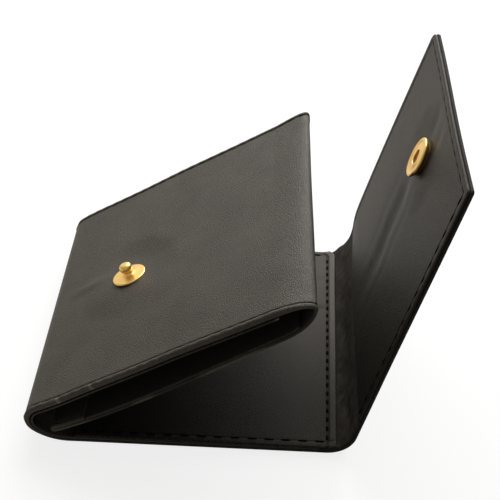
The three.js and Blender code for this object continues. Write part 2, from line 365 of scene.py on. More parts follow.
def left_of(line):
    """Unit normals on the left hand of a walk along the line."""
    heading = unit(np.gradient(line, axis=0))
    return np.stack([-heading[:, 1], heading[:, 0]], -1)


def walked(line):
    """The length walked from the line's start to each of its points."""
    return np.concatenate([[0], np.cumsum(np.linalg.norm(np.diff(line, axis=0), axis=1))])


def bare_face(distance):
    """A face with nothing pressed into it: no depth and no dark seam."""
    return np.zeros_like(distance), np.zeros_like(distance)


def sewn_face(inset, groove=0.2, roll=0.1, dark=0.2):
    """A face with a seam: a groove at that distance from the edge, dark, and a rounded rim outside it."""
    def relief(distance):
        line = bell(distance - inset, 0.3)
        return groove * line - roll * bell(distance - 0.5 * inset, 0.35 * inset), dark * line
    return relief


def leather_sheet(line, half_width, thickness, top=bare_face, ends=None, sewn_ends=None, middle=0.0,
                  rim_gain=0.0, rim_drop=0.0, flat_start=0.0, edge_radius=cut_edge_radius):
    """A sheet carried along a line in X and Z, its top on the left hand of the walk.

    Its section is a rectangle with rounded corners: from an edge the top face starts at the corner
    radius r below and follows r(1 - sin), with closer points near the edge. The top is pushed in by a
    depth that depends on the distance to the nearest sewn edge. Where ends gives a distance below r to
    a free end, the section is squeezed to round that end. Near the sides the sheet is thicker below by
    rim_gain, where its edge is turned in, or lies lower by rim_drop.
    """
    edge_zone = 6.0
    rim_starts, rim_ends = 1.9, 3.4
    no_end = np.full(len(line), 99.0)
    corner = np.radians([0, 25, 50, 75])
    near = np.concatenate([np.linspace(edge_radius, rim_ends, 17), [4.1, 5.0]])
    edge_y = np.concatenate([edge_radius * (1 - np.cos(corner)), near])
    edge_sink = np.concatenate([edge_radius * (1 - np.sin(corner)), np.zeros(len(near))])
    share_middle = np.linspace(-1, 1, 60)
    share = np.concatenate([-np.ones(len(edge_y)), share_middle, np.ones(len(edge_y))])
    offset = np.concatenate([edge_y - edge_zone, np.zeros(len(share_middle)), (edge_zone - edge_y)[::-1]])
    sink = np.concatenate([edge_sink, np.zeros(len(share_middle)), edge_sink[::-1]])

    width = np.broadcast_to(np.asarray(half_width, float), len(line))[:, None]
    free = no_end if ends is None else np.asarray(ends, float)
    sewn = no_end if sewn_ends is None else np.asarray(sewn_ends, float)
    across = share * (width - edge_zone) + offset
    side = width - np.abs(across)
    half_thick = thickness / 2
    round_end = np.clip(edge_radius - free, 0, edge_radius)
    squeeze = ((half_thick - edge_radius + np.sqrt(edge_radius**2 - round_end**2)) / half_thick)[:, None]
    top_depth, top_seam = top(np.minimum(side, sewn[:, None]))
    by_rim = 1 - ease(side, rim_starts, rim_ends)
    drop = np.reshape(rim_drop, (-1, 1)) * by_rim
    gain = np.reshape(rim_gain, (-1, 1)) * by_rim
    upper = half_thick + squeeze * (sink - half_thick) + top_depth + drop
    lower = half_thick + squeeze * (half_thick - sink) + drop + gain

    def both(upper_values, lower_values):
        return np.concatenate([upper_values, lower_values[:, ::-1]], 1)

    depth = both(upper, lower)
    y = both(across, across) + np.reshape(middle, (-1, 1))
    out = left_of(line)
    points = np.stack([line[:, :1] - out[:, :1] * depth, y, line[:, 1:] - out[:, 1:] * depth], -1)
    flat = np.stack([np.broadcast_to((flat_start + walked(line))[:, None], y.shape), y, depth], -1)
    rim = np.minimum(side, free[:, None])
    return {"points": points, "flat": flat, "rim": both(rim, rim), "seam": both(top_seam, 0 * top_seam)}


def top_side(sheet):
    """True for the columns of a sheet's top face and False for those of its underside."""
    columns = sheet["rim"].shape[1]
    return np.arange(columns) < columns // 2


def darken(sheet, values):
    """Makes a sheet at least as dark as those values, for seams, dyed edges, dark rims and painted shade."""
    sheet["seam"] = np.maximum(sheet["seam"], values)


def lift_off(sheet, line, height):
    """Moves a sheet's points by a height, out from the line that the sheet was carried along."""
    sheet["points"][..., [0, 2]] += left_of(line)[:, None, :] * height[..., None]


def black_edges(sheet, dye=0.85):
    """Edges dyed black and not yet rubbed: dark at the rim, and too far from it to be worn."""
    darken(sheet, dye * (1 - ease(sheet["rim"], 0.3, 0.9)))
    sheet["rim"] = sheet["rim"] + 1.2


def closed_faces(rows, columns):
    """Quads round a grid whose columns close on themselves, with a ladder of quads across each end."""
    i, j = np.meshgrid(np.arange(rows - 1), np.arange(columns), indexing="ij")
    k = (j + 1) % columns
    sides = np.stack([i * columns + j, i * columns + k, (i + 1) * columns + k, (i + 1) * columns + j], -1)
    rung = np.arange(columns // 2 - 1)
    ladder = np.stack([rung, columns - 1 - rung, columns - 2 - rung, rung + 1], -1)
    return np.concatenate([sides.reshape(-1, 4), ladder, ladder[:, ::-1] + (rows - 1) * columns])


def facing_out(points, faces):
    """The quads, all turned round if the volume that they close comes out negative."""
    a, b, c, d = (points[faces[:, n]] for n in range(4))
    volume = np.einsum("ij,ij->", a, np.cross(b, c)) + np.einsum("ij,ij->", a, np.cross(c, d))
    return faces if volume > 0 else faces[:, ::-1]


def new_piece(name, points, faces, finish, sharp_angle=50.0, **attributes):
    """A smooth-shaded mesh object from millimetre points and quads, with named values at its points."""
    points = np.asarray(points, float).reshape(-1, 3)
    mesh = bpy.data.meshes.new(name)
    mesh.from_pydata((points * MM).tolist(), [], facing_out(points, np.asarray(faces)).tolist())
    mesh.shade_smooth()
    mesh.set_sharp_from_angle(angle=np.radians(sharp_angle))
    for key, values in attributes.items():
        is_vector = values.shape[-1] == 3
        layer = mesh.attributes.new(key, "FLOAT_VECTOR" if is_vector else "FLOAT", "POINT")
        layer.data.foreach_set("vector" if is_vector else "value", values.astype(np.float32).ravel())
    mesh.materials.append(finish)
    piece = bpy.data.objects.new(name, mesh)
    bpy.context.scene.collection.objects.link(piece)
    return piece


def sheet_piece(name, sheet, finish):
    """A piece from what leather_sheet returns; a sheet without scuffs and painted highlights has none."""
    faces = closed_faces(*sheet["rim"].shape)
    scuff = sheet.get("scuff", np.zeros_like(sheet["rim"]))
    return new_piece(name, sheet["points"], faces, finish, flat=sheet["flat"].reshape(-1, 3),
                     rim=sheet["rim"].ravel(), seam=sheet["seam"].ravel(), scuff=scuff.ravel())


def leaning_axis(tilt, lean):
    """The axis of a disc that is tilted from upright towards -X and leans towards +Y, in degrees."""
    tilt, lean = np.radians([tilt, lean])
    return np.array([-np.sin(tilt) * np.cos(lean), np.sin(lean), np.cos(tilt) * np.cos(lean)])


def seat_lift(axis, along_way, out_way, along, y, hold, fade):
    """How far a panel is lifted to lie square to a leaning axis, round the fitting that leans: the height
    of the axis's plane over the panel at a place along and y from it, kept out to hold and gone at fade."""
    axis_along = axis[[0, 2]] @ along_way
    axis_out = axis[[0, 2]] @ out_way
    lift = -(axis_along * along + axis[1] * y) / axis_out
    return lift * (1 - ease(np.hypot(along, y), hold, fade))


flap_along, flap_in = directions(flap_rise)
socket_along = 74.1
socket_y = 0.9
socket_axis = leaning_axis(tilt=69.0, lean=5.0)
socket_stiff, socket_give = 8.0, 0.7
seat_hold = 4.0
socket_fade = 19.0
pleat_starts, pleat_full = 10.0, 35.0
valley_y, valley_bend, valley_turn, valley_end = 4.2, 2.0, (34.0, 46.0), (62.0, 76.0)
valley_pleats = ((0.75, 0.0, 4.6), (0.16, -9.5, 2.4), (0.14, 10.0, 2.6))
upper_start, upper_end = (75.0, 82.0), (84.0, 94.0)
upper_pleats = ((0.4, 5.0, 2.8), (0.4, -4.5, 2.8))
flap_wave = 0.22
belly_depth, belly_along, belly_width, belly_starts = 1.7, 5.0, 7.5, 14.0


def sunk(pleats, y):
    """Soft valleys side by side: for each depth, place and width a bell across y, downwards."""
    return -sum(depth * bell(y - place, width) for depth, place, width in pleats)


def settle_flap(points):
    """Soft pleats that run up the flap past the socket, each a bell across y along a bent line, a seat
    for the leaning socket, and a belly at the far end of the crease. Moves a copy of the points."""
    points = points.copy()
    along, y = (points[..., [0, 2]] - crease_centre) @ flap_along, points[..., 1]
    away = 1 - bell(np.hypot(along - socket_along, y - socket_y), socket_stiff)
    rise = np.clip((along - pleat_starts) / (pleat_full - pleat_starts), 0, 1)
    valley_line = valley_y - valley_bend * (1 - ease(along, *valley_turn))
    below = sunk(valley_pleats, y - valley_line) * (1 - ease(along, *valley_end))
    above = sunk(upper_pleats, y) * ease(along, *upper_start) * (1 - ease(along, *upper_end))
    slow = flap_wave * np.sin(0.05 * along + 0.3) * np.sin(0.07 * y - 0.4)
    seat = seat_lift(socket_axis, flap_along, flap_in, along - socket_along, y - socket_y, seat_hold,
                     socket_fade)
    belly = belly_depth * bell(along - belly_along, belly_width) * ease(y, belly_starts, fold_half)
    lift = rise * away * (below + above + slow) + socket_give * seat - belly
    points[..., [0, 2]] += lift[..., None] * flap_in
    return points


back_line = joined(
    straight(flap_point(root_seam, -crease_radius), flap_point(0.0, -crease_radius)),
    arc(crease_centre, crease_radius, flap_rise - 90, -90),
    straight((crease_centre[0], 0.0), (back_seam, 0.0)),
)
root_along = np.clip(root_seam - walked(back_line), 0, None)
back_half = fold_half - flap_taper * root_along / flap_length
back_sheet = leather_sheet(back_line, back_half, cover_thickness, top=sewn_face(side_inset),
                           flat_start=flap_length - root_seam)
back_sheet["points"] = settle_flap(back_sheet["points"])
black_edges(back_sheet)
back_leather = sheet_piece("back_leather", back_sheet, outer_leather)
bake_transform(back_leather)
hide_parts("back_cover", "crease_cover", "flap_root_cover")

# The back's lining: thinner, smoother leather, cut a little smaller than the strip and pasted to the
# inside of the back. The pocket covers most of it.
lining_thickness = 0.75
lining_depth = 1.08
lining_radius = 0.25
lining_half = fold_half - 0.2
lining_level = lining_depth + lining_thickness
crease_seam = 38.4
inner_leather = leather_finish("lining_leather", dark=(0.004, 0.0030, 0.0016), light=(0.008, 0.0060, 0.0033),
                               worn_and_highlight=(0.22, 0.18, 0.13), cell=0.5, bump=0.65, rub=0.2, gloss=0.42,
                               sheen=0.40, warm=(1.0, 0.91, 0.80))


def lining_sheet(line, **section):
    """A sheet of lining along a line: thinner than the strip, and a little narrower."""
    return leather_sheet(line, lining_half, lining_thickness, edge_radius=lining_radius, **section)


back_lining_sheet = lining_sheet(straight((back_seam, lining_level), (crease_seam, lining_level)))
back_lining = sheet_piece("back_lining_leather", back_lining_sheet, inner_leather)
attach(back_lining, "back")
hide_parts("back_lining")

# The crease's lining: a strip of matt suede that takes the folding. It is pasted into the crease, from
# under the pocket's mouth to the flap's lining, and wrinkles where the leather is bent.
flap_lining_start = 7.8
suede_end = flap_lining_start - 0.15
crease_inner = crease_radius - lining_level
wrinkle_height = 0.12
wrinkle_starts, wrinkle_length = 3.0, 14.0
swelling, swelling_along, swelling_width = 0.8, 9.6, 2.0
suede_leather = leather_finish("crease_suede", dark=(0.009, 0.0076, 0.0064), light=(0.050, 0.0420, 0.0355),
                               worn_and_highlight=(0.05, 0.042, 0.032), cell=0.4, bump=0.8, rub=0.2, gloss=0.75,
                               sheen=0.3, drift=0.3)


def suede_wrinkles(along, across):
    """Soft wrinkles over the strip: slanted waves that fade at the strip's two seams, and a swelling at its
    far end, just past the pocket's mouth."""
    fade = np.sin(np.pi * np.clip((along - wrinkle_starts) / wrinkle_length, 0, 1))
    wave = np.sin(0.35 * across + 0.45 * along) + 0.6 * np.sin(0.8 * across - 0.9 * along + 1.3)
    wave += 0.7 * np.sin(0.17 * across + 0.8 * along + 2.1)
    swollen = swelling * bell(along - swelling_along, swelling_width) * ease(across, 37.0, 47.0)
    return wrinkle_height * fade * wave + swollen


suede_line = joined(
    straight((crease_seam, lining_level), (crease_centre[0], lining_level)),
    arc(crease_centre, crease_inner, -90, flap_rise - 90, spacing=0.4),
    straight(flap_point(0.0, -crease_inner), flap_point(suede_end, -crease_inner), spacing=0.5),
)
suede_sheet = lining_sheet(suede_line)
lift_off(suede_sheet, suede_line, suede_wrinkles(suede_sheet["flat"][..., 0], suede_sheet["flat"][..., 1]))
suede_sheet["points"] = settle_flap(suede_sheet["points"])
crease_lining = sheet_piece("crease_lining_suede", suede_sheet, suede_leather)
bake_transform(crease_lining)
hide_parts("crease_lining", "flap_root_lining")

# The inside pocket: one leather laid on the back's lining and sewn along both ends. Its mouth is a hem
# that curls up into the crease, held by a row of close stitches.
pocket_thickness = 0.8
pocket_gap = 0.12
pocket_left = -38.6
pocket_half = fold_half - 0.25
pocket_level = lining_level + pocket_gap + pocket_thickness
pocket_inset = 2.1
pocket_edge_radius = 0.3
pocket_fine_from = 32.0
pocket_curl = 30.0
pocket_curl_radius = crease_inner - pocket_gap - pocket_thickness
hem_width = 3.0
hem_rise = 0.42
hem_step = 0.14
mouth_reach, mouth_skew = 0.55, 0.8
far_round, far_round_starts, far_round_ends = 1.5, 44.0, 48.5
mark_places = (32.5, 16.7)
mark_width, mark_length, mark_from_mouth = 0.5, 3.2, 6.2
# The pocket's worn colour also gives the painted highlight on its hem and its far side.
pocket_leather = leather_finish("pocket_leather", dark=(0.005, 0.0044, 0.0034), light=(0.009, 0.0080, 0.0061),
                                worn_and_highlight=(0.20, 0.183, 0.160), cell=0.5, bump=0.4, rub=0.3, gloss=0.5, sheen=0.14)
pocket_line = joined(
    straight((pocket_left, pocket_level), (pocket_left + 0.6, pocket_level), spacing=0.1),
    straight((pocket_left + 0.6, pocket_level), (pocket_fine_from, pocket_level)),
    straight((pocket_fine_from, pocket_level), (crease_centre[0], pocket_level), spacing=0.25),
    arc((crease_centre[0], pocket_level + pocket_curl_radius), pocket_curl_radius, -90, -90 + pocket_curl,
        spacing=0.12),
)
pocket_walk = walked(pocket_line)
pocket_length = pocket_walk[-1]
mouth_row = pocket_length - hem_width + 0.1


def pressed_marks(along, across):
    """Two short marks across the hem's root where the pocket has been creased: bells across each."""
    marks = sum(bell(across - place, mark_width) for place in mark_places)
    return marks * bell(pocket_length - along - mark_from_mouth, mark_length)


def pocket_relief(along, across):
    """The hem is a smooth step up, of logistic form, lower at both ends; the pressed marks are sunk."""
    hem = hem_rise / (1 + np.exp((pocket_length - along - hem_width + 0.85) / hem_step))
    hem *= 1 - 0.8 * ease(np.abs(across), 44.5, 47.5)
    return hem - 0.3 * pressed_marks(along, across)


def mouth_slant(across):
    """How much further the mouth reaches than its line at a place across: its edge is not quite square,
    and drawn back to a round at the far corner."""
    skewed = mouth_reach + mouth_skew * across / pocket_half
    return skewed * (1 - far_round * ease(across, far_round_starts, far_round_ends))


pocket_sheet = leather_sheet(pocket_line, pocket_half, pocket_thickness, top=sewn_face(pocket_inset, 0.1),
                             ends=np.minimum(pocket_walk, pocket_length - pocket_walk),
                             edge_radius=pocket_edge_radius)
pocket_along, pocket_across = pocket_sheet["flat"][..., 0], pocket_sheet["flat"][..., 1]
pocket_top = top_side(pocket_sheet)
lift_off(pocket_sheet, pocket_line, pocket_relief(pocket_along, pocket_across) * pocket_top)
pocket_out = left_of(pocket_line)[:, None, :]
pocket_heading = np.stack([pocket_out[..., 1], -pocket_out[..., 0]], -1)
by_mouth = ease(pocket_walk, pocket_length - 14.0, pocket_length - 4.0)[:, None]
pocket_sheet["points"][..., [0, 2]] += pocket_heading * (mouth_slant(pocket_across) * by_mouth)[..., None]
darken(pocket_sheet, 0.45 * bell(pocket_along - mouth_row, 0.45) * pocket_top)
# Painted shade: the pressed marks are darkened as well as sunk.
darken(pocket_sheet, 0.7 * pressed_marks(pocket_along, pocket_across) * pocket_top)
# Wear and painted light: the hem's top is lighter as a painted highlight, and the pocket is lighter towards
# the mouth, partly as wear, and towards the far end, as painted light where the light from behind falls.
hem_wear_and_highlight = ease(pocket_along, mouth_row + 0.6, mouth_row + 1.0) * pocket_top
pocket_wear_and_light = 0.33 * ease(pocket_along, 50.0, 78.0) + 0.5 * hem_wear_and_highlight
pocket_sheet["scuff"] = pocket_wear_and_light * (0.3 + 0.7 * ease(pocket_across, -40.0, 15.0))
pocket = sheet_piece("inside_pocket_leather", pocket_sheet, pocket_leather)
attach(pocket, "back")
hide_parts("inside_pocket")

# The pocket's end seams: black waxed linen thread, under a millimetre thick, in plain stitches whose ends
# dive into the leather. They hold the pocket's two ends to the lining and the back.
thread_radius = 0.38
proud_radius = 0.5
stitch_pitch = 5.3
stitch_length = 4.0
stitch_margin = 2.5


def thread_finish():
    """Twisted black thread: slanted light and dark stripes along each stitch, a soft sheen."""
    finish, tree, shader = new_finish("black_thread")
    place = add_node(tree, "ShaderNodeTexCoord").outputs["Object"]
    twist = add_node(tree, "ShaderNodeTexWave", {"Vector": place, "Scale": 900.0, "Distortion": 1.5},
                     bands_direction="DIAGONAL").outputs["Fac"]
    tree.links.new(mixed(tree, twist, (0.003, 0.003, 0.003), (0.010, 0.009, 0.008)), shader["Base Color"])
    emboss(tree, twist, strength=0.4, depth=0.1)
    shader["Roughness"].default_value = 0.9
    shader["Specular IOR Level"].default_value = 0.05
    return finish


black_thread = thread_finish()


def spokes(turn, first, second):
    """Directions round a circle: the cosine of each angle along the first, its sine along the second."""
    return np.cos(turn) * first + np.sin(turn) * second


def stitches(name, middles, along, out, length=stitch_length, radius=thread_radius):
    """One rounded dash for each middle: rings of six points along u from -1 to 1, whose radius follows
    the root of 1 - u^4 and which sink as u^4 so that both ends dive into the leather. The radius is one
    for all or one for each."""
    u = np.linspace(-0.98, 0.98, 9)[:, None]
    turn = np.radians(np.arange(0, 360, 60))[:, None]
    thick = np.broadcast_to(radius, len(middles))[:, None, None]
    spoke = spokes(turn, out[:, None, :], np.cross(along, out)[:, None, :])
    spine = (middles[:, None, :] + u * length / 2 * along[:, None, :]
             - thick * (0.55 + 1.1 * u**4) * out[:, None, :])
    points = spine[:, :, None, :] + (thick * np.sqrt(1 - u**4))[..., None] * spoke[:, None]
    one = closed_faces(len(u), len(turn))
    faces = (np.arange(len(middles))[:, None, None] * len(u) * len(turn) + one).reshape(-1, 4)
    return new_piece(name, points, faces, black_thread)


def spread(length, pitch, margin):
    """Middles of stitches along a length, as many as fit with about that pitch between two margins."""
    count = int((length - 2 * margin) / pitch) + 1
    return np.linspace(margin, length - margin, count)


def line_places(line, lengths, lift):
    """Points, headings and normals on a line at walked lengths, lifted off it; as rows of X, Y and Z."""
    walk, out, heading = walked(line), left_of(line), unit(np.gradient(line, axis=0))

    def at(values):
        return np.stack([np.interp(lengths, walk, values[:, 0]), np.zeros(len(lengths)),
                         np.interp(lengths, walk, values[:, 1])], -1)

    return at(line) + lift * at(out), at(heading), at(out)


def edge_rows(line, lengths, half_width, inset=side_inset, lift=-0.12):
    """The same row of stitches along both ends of a sheet, inset from edges that may taper."""
    middle, heading, out = line_places(line, lengths, lift)
    width = np.interp(lengths, walked(line), np.broadcast_to(half_width, len(line)))
    shift = np.stack([np.zeros(len(lengths)), width - inset, np.zeros(len(lengths))], -1)
    return [np.concatenate([middle - shift, middle + shift]), np.concatenate([heading, heading]),
            np.concatenate([out, out])]


pocket_end_lengths = spread(pocket_length - hem_width, stitch_pitch, stitch_margin)
pocket_end_rows = edge_rows(pocket_line, pocket_end_lengths, pocket_half, pocket_inset, lift=0.1)
pocket_end_stitches = stitches("pocket_end_stitches", *pocket_end_rows, radius=proud_radius)
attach(pocket_end_stitches, "back")

# The hem's seam: short, close stitches of the same thread along the pocket's mouth. They hold the hem
# turned under and go through the pocket alone.
mouth_pitch = 3.73
mouth_stitch_length = 2.5
mouth_y = np.arange(-44.0, 45.0, mouth_pitch)
mouth_middle, mouth_heading, mouth_out = line_places(pocket_line, np.full(len(mouth_y), mouth_row), 0.2)
mouth_middle += mouth_heading * mouth_slant(mouth_y)[:, None]
mouth_middle[:, 1] = mouth_y
mouth_along = np.tile([0.0, 1.0, 0.0], (len(mouth_y), 1))
mouth_stitches = stitches("pocket_mouth_stitches", mouth_middle, mouth_along, mouth_out,
                          length=mouth_stitch_length, radius=proud_radius)
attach(mouth_stitches, "back")

# The back's seams: where the thread of the pocket's end seams comes out on the underside of the back.
# It is pulled into a groove, so that the wallet lies flat.
back_seam_start = 20.0
back_seam_length = walked(back_line)[-1] - 22
back_rows = edge_rows(back_line, spread(back_seam_length, stitch_pitch, stitch_margin) + back_seam_start,
                      fold_half)
back_stitches = stitches("back_stitches", *back_rows)
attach(back_stitches, "back")

# The front: the same strip of outer leather where it rolls round the spine, first slowly and then
# tightly, and climbs as the front panel. Its two ends are turned in, so their rims are thicker.
spine_start = np.array([-40.6, 0.0])
spine_axis = np.array([-47.132, 9.1943])
spine_lower_radius = 16.5
spine_lower_sweep = 41.8
spine_radius = 6.7
front_rise = 31.8
front_seam = 76.0
front_inset = 1.65
front_roll = 0.2
seam_pitch = 4.2
pinch_depth = 0.08
turned_in = 0.8
front_along, front_out = directions(front_rise)
stud_along = 29.1
stud_y = -1.9
stud_axis = leaning_axis(tilt=21.5, lean=8.0)
stud_stiff, stud_give = 8.5, 0.55
stud_fade = 20.0
ridge_height, ridge_y, ridge_width = 0.34, 1.2, 1.8
ridge_along, ridge_length = 12.0, 9.0
front_wave, front_ripple = 0.16, 0.07
rim_sag = 0.5
corner_draw, corner_along, corner_out, corner_width = 1.3, -5.7, 3.5, 6.5


def front_point(along, out):
    """A point of the front's section: along it from the spine's axis, and out from that axis."""
    return turned_point(spine_axis, front_rise, along, out)


def pinch_rim(sheet, line):
    """Draws in the rim outside the seam at each stitch: a cosine of the stitches' pitch along the walk, on
    the top alone, faded out at the seam, at the cut edge and where the strip lies on the table."""
    on_rim = ease(sheet["rim"], 0.1, 0.6) * (1 - ease(sheet["rim"], front_inset - 0.5, front_inset + 0.3))
    wave = pinch_depth * np.cos(2 * np.pi * walked(line) / seam_pitch) * ease(line[:, 1], 1.0, 5.0)
    lift_off(sheet, line, wave[:, None] * on_rim * top_side(sheet))


def settle_front(points):
    """Lifts the front in soft waves: a ridge that runs from the spine to the stud, slow sines that die out
    round the stud, a seat for the leaning stud, and a sag of the near rim. The far end of the spine is
    drawn in to a rounder corner. Moves a copy of the points."""
    points = points.copy()
    section = points[..., [0, 2]] - spine_axis
    along, out, y = section @ front_along, section @ front_out, points[..., 1]
    away = 1 - bell(np.hypot(along - stud_along, y), stud_stiff)
    ridge = ridge_height * bell(y - ridge_y, ridge_width) * bell(along - ridge_along, ridge_length)
    slow = front_wave * np.sin(0.075 * along + 0.4) * np.sin(0.062 * y + 0.9)
    slow += front_ripple * np.sin(0.16 * along - 0.12 * y)
    seat = seat_lift(stud_axis, front_along, front_out, along - stud_along, y - stud_y, seat_hold, stud_fade)
    sag = rim_sag * ease(-y, 24.0, 47.0) * (ease(along, 8.0, 45.0) + bell(along - 8.0, 12.0))
    lift = away * (ridge + slow) + stud_give * seat - sag
    lift *= np.clip(out / 3.5, 0, 1) * np.clip((along + 4.0) / 12.0, 0, 1)
    points[..., [0, 2]] += lift[..., None] * front_out
    by_corner = bell(np.hypot(along - corner_along, out - corner_out), corner_width)
    points[..., 1] -= corner_draw * ease(y, 36.0, fold_half) * by_corner
    return points


def front_path(depth, end, spacing):
    """The section of the spine and the front at a depth under their outer face, up to an end along the
    front: an arc of the wide radius, one of the tight radius, and a straight."""
    wide_end, tight_end = -90 - spine_lower_sweep, front_rise - 270
    return joined(
        straight((back_seam, depth), spine_start + (0, depth)),
        arc((spine_start[0], spine_lower_radius), spine_lower_radius - depth, -90, wide_end),
        arc(spine_axis, spine_radius - depth, wide_end, tight_end, spacing=0.6),
        straight(front_point(0, spine_radius - depth), front_point(end, spine_radius - depth), spacing),
    )


front_line = front_path(0.0, front_seam, spacing=0.6)
front_flat_start = flap_length - root_seam + walked(back_line)[-1]
front_walk = walked(front_line)
front_start = front_walk[-1] - front_seam
front_face = sewn_face(front_inset, roll=front_roll, dark=1.0)
front_sheet = leather_sheet(front_line, fold_half, cover_thickness, top=front_face,
                            rim_gain=turned_in * ease(front_walk, 2.0, front_start),
                            flat_start=front_flat_start)
pinch_rim(front_sheet, front_line)
front_places = front_walk[:, None] - front_start
rim_spots = bell(front_places - 9.1, 0.42) + 0.8 * bell(front_places - 21.8, 0.4)
front_sheet["scuff"] = 1.6 * rim_spots * bell(front_sheet["flat"][..., 1] + fold_half, 0.9)
on_spine = 1 - ease(front_walk, 4.0, front_start - 3.0)
darken(front_sheet, 0.8 * on_spine[:, None] * (1 - ease(front_sheet["rim"], 0.8, 2.0)))
front_sheet["points"] = settle_front(front_sheet["points"])
front_leather = sheet_piece("front_leather", front_sheet, outer_leather)
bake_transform(front_leather)
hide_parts("spine_cover", "front_cover")

# The front's lining: smooth leather that follows the spine and the front on the inside. It lies under the
# turned-in ends of the front and ends raw just before the nose.
front_lining_end = 85.4
front_lining_round = front_lining_end - 0.6
front_lining_out = spine_radius - lining_depth
front_lining_line = joined(
    front_path(lining_depth, front_lining_round, spacing=1.4),
    straight(front_point(front_lining_round, front_lining_out),
             front_point(front_lining_end, front_lining_out), spacing=0.08),
)
front_lining_walk = walked(front_lining_line)
front_lining_left = front_lining_walk[-1] - front_lining_walk
under_rim = (turned_in + 0.4) * ease(front_lining_end - front_lining_left, -16.0, 0.0)
front_lining_sheet = lining_sheet(front_lining_line, ends=front_lining_left, rim_drop=under_rim)
near_corner_rub = bell(front_lining_sheet["flat"][..., 1] + lining_half, 1.2)
front_lining_sheet["scuff"] = 0.9 * bell(front_lining_left, 0.7)[:, None] * near_corner_rub
front_lining_sheet["points"] = settle_front(front_lining_sheet["points"])
front_lining = sheet_piece("front_lining_leather", front_lining_sheet, inner_leather)
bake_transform(front_lining)
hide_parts("spine_lining", "front_lining")

# The nose and the pouch: the last stretch of the strip of black calf. It turns round the front's free edge
# as one thickness, runs back underneath with a slack belly, and is folded in as a hem by the spine.
nose_start = 84
hem_radius = 1.02
pouch_hem = 11.5
hem_turn = np.array([-0.1, -4.55])


def bezier(start, lead, trail, end, count):
    """A cubic Bezier curve: (1-t)^3, 3(1-t)^2 t, 3(1-t) t^2 and t^3 shares of its four points."""
    t = np.linspace(0, 1, count)[:, None]
    points = (np.asarray(p, float) for p in (start, lead, trail, end))
    shares = ((1 - t) ** 3, 3 * (1 - t) ** 2 * t, 3 * (1 - t) * t**2, t**3)
    return sum(share * point for share, point in zip(shares, points))


def pouch_section(shoulder, brow, tip, chin, under):
    """The strip from the front's end to the pouch's hem, along and out from the spine's axis. The nose is
    two curves that meet at its tip: the first is drawn to the shoulder and the brow, the second to the
    chin, and it ends under the front."""
    hem_half_turn = np.linspace(0, np.pi, 16)
    front_end, nose_root = (front_seam, spine_radius), (nose_start, spine_radius)
    hem_lip = (pouch_hem - 0.5, -4.45)
    section = np.concatenate([
        bezier(front_end, (79, spine_radius), (82, spine_radius), nose_root, 8)[:-1],
        bezier(nose_root, shoulder, brow, tip, 34)[:-1],
        bezier(tip, chin, (under[0] + 9.0, under[1] + 0.4), under, 34)[:-1],
        bezier(under, (62, under[1] - 0.7), (22, -8.9), hem_turn - (0, hem_radius), 70)[:-1],
        hem_turn - hem_radius * np.stack([np.sin(hem_half_turn), np.cos(hem_half_turn)], -1),
        bezier(hem_turn + (0, hem_radius), (4, -3.95), (8, -4.25), hem_lip, 16)[1:],
        bezier(hem_lip, (pouch_hem - 0.3, -4.46), (pouch_hem - 0.15, -4.47), (pouch_hem, -4.48), 8)[1:],
    ])
    return front_point(section[:, 0], section[:, 1])


def pouch_sheet(line):
    """The nose and the pouch on one section; the turned-in rim thins out over the nose."""
    walk = walked(line)
    return leather_sheet(line, fold_half, cover_thickness, top=front_face, ends=walk[-1] - walk,
                         rim_gain=turned_in * (1 - ease(walk, 8.0, 24.0)),
                         flat_start=front_flat_start + front_walk[-1])


def across_nose(near_points, far_points):
    """The near section at the near end, turned evenly into the far section at the far end."""
    share = (near_points[..., 1:2] + fold_half) / (2 * fold_half)
    return near_points + share * (far_points - near_points)


near_line = pouch_section(shoulder=(90.0, 6.6), brow=(96.5, 5.3), tip=(96.7, 2.5), chin=(96.8, 0.3),
                          under=(83.0, -4.7))
far_line = pouch_section(shoulder=(91.0, 7.2), brow=(97.2, 8.2), tip=(96.2, 5.4), chin=(95.4, 3.2),
                         under=(83.0, -4.2))
nose_sheet = pouch_sheet(near_line)
nose_sheet["points"] = settle_front(across_nose(nose_sheet["points"], pouch_sheet(far_line)["points"]))
nose_walk = walked(near_line)[:, None]
nose_specks = ease(nose_walk, 12.0, 20.0) * (1 - ease(nose_walk, 30.0, 40.0))
patch_wave = np.sin(0.16 * nose_walk + 1.9 * np.sin(0.07 * nose_walk))
pouch_patches = ease(patch_wave, 0.0, 0.9) * ease(nose_walk, 40.0, 50.0)
nose_rub = 0.1 * nose_specks + 0.5 * pouch_patches
nose_sheet["scuff"] = nose_rub * bell(nose_sheet["flat"][..., 1] + fold_half, 0.8)
# Painted shade: the nose's underside, inside the pouch, is darkened except near its rims.
darken(nose_sheet, 0.9 * ~top_side(nose_sheet) * ease(nose_sheet["rim"], 0.6, 1.4))
# The rims past the nose's tip are darkened, less where the patches are rubbed.
pouch_rim_dark = ease(nose_walk, 17.0, 27.0) * (1 - ease(nose_sheet["rim"], 1.2, 2.4))
darken(nose_sheet, (0.7 - 0.4 * pouch_patches) * pouch_rim_dark)
pouch_leather = sheet_piece("pouch_leather", nose_sheet, outer_leather)
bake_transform(pouch_leather)
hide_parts("front_bend", "pouch_cover")

# The pouch's lining: smooth leather pasted on the pouch's floor, from the nose to the edge of the hem, so
# that cards slide in without catching.
floor_slope = -0.55
floor_end = 90.0
floor_along = (near_line - spine_axis) @ front_along
on_floor = (left_of(near_line) @ front_out < floor_slope) & (floor_along < floor_end)
on_floor &= floor_along > pouch_hem + 0.05


def floor_sheet(line):
    """The lining on the pouch's floor for one section of the pouch."""
    return lining_sheet((line - left_of(line) * lining_level)[on_floor][::-1])


pouch_lining_sheet = floor_sheet(near_line)
pouch_lining_sheet["points"] = across_nose(pouch_lining_sheet["points"], floor_sheet(far_line)["points"])
